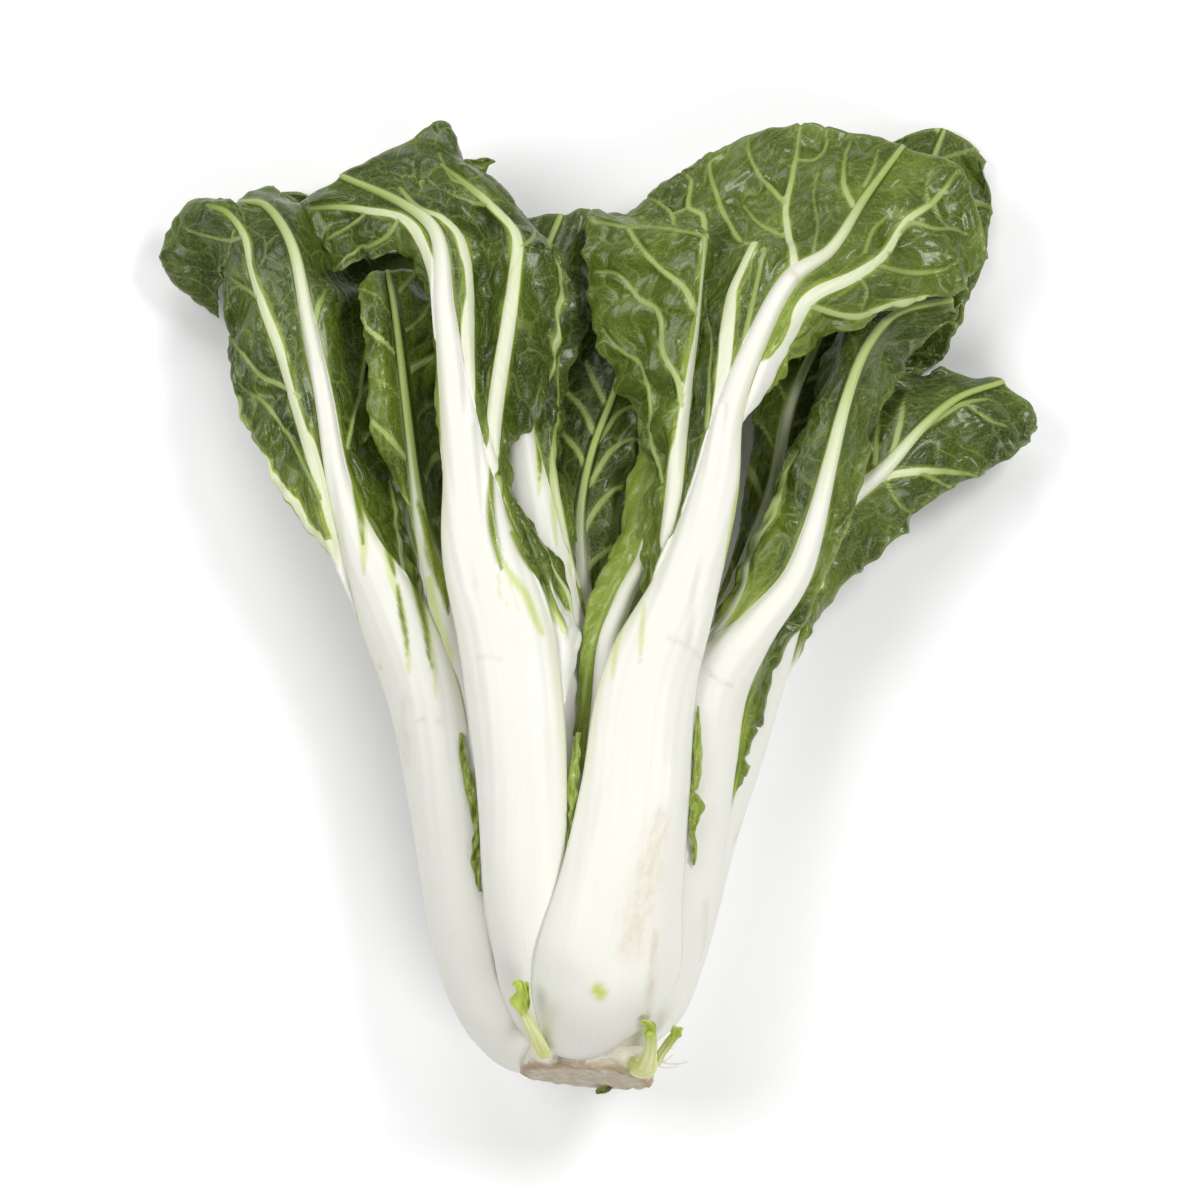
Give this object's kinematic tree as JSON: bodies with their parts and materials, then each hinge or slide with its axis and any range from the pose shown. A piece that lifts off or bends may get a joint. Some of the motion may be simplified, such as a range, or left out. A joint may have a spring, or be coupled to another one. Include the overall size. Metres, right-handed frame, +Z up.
{
  "type": "bok choy",
  "caption": "Cut head of bok choy lying on its side: broad white stalks round a trimmed stem, opening into pleated green leaf blades.",
  "frame": {"origin": "centre of the bottom of the head's bounding box, on the surface that it lies on", "axes": "+Y along the head, from the cut stem towards the leaf ends; +X across it; +Z up from the surface"},
  "size_m": [0.3212, 0.3538, 0.0929],
  "materials": {
    "leaf": "satin white stalk and ribs, waxy mid-green blade",
    "stem": "dry, fibrous cut face",
    "shoot": "satin"
  },
  "bodies": {
    "root": {"leaf_front_right": "leaf", "leaf_front_left": "leaf", "leaf_left": "leaf", "leaf_inner_left": "leaf", "leaf_centre_left": "leaf", "leaf_centre": "leaf", "leaf_inner_right": "leaf", "leaf_right": "leaf", "leaf_far_right": "leaf", "leaf_back_right": "leaf", "leaf_under_right": "leaf", "leaf_under": "leaf", "leaf_under_left": "leaf", "cut_stem": "stem", "shoot_left": "shoot", "shoot_right": "shoot", "shoot_small": "shoot"}
  },
  "joints": []
}
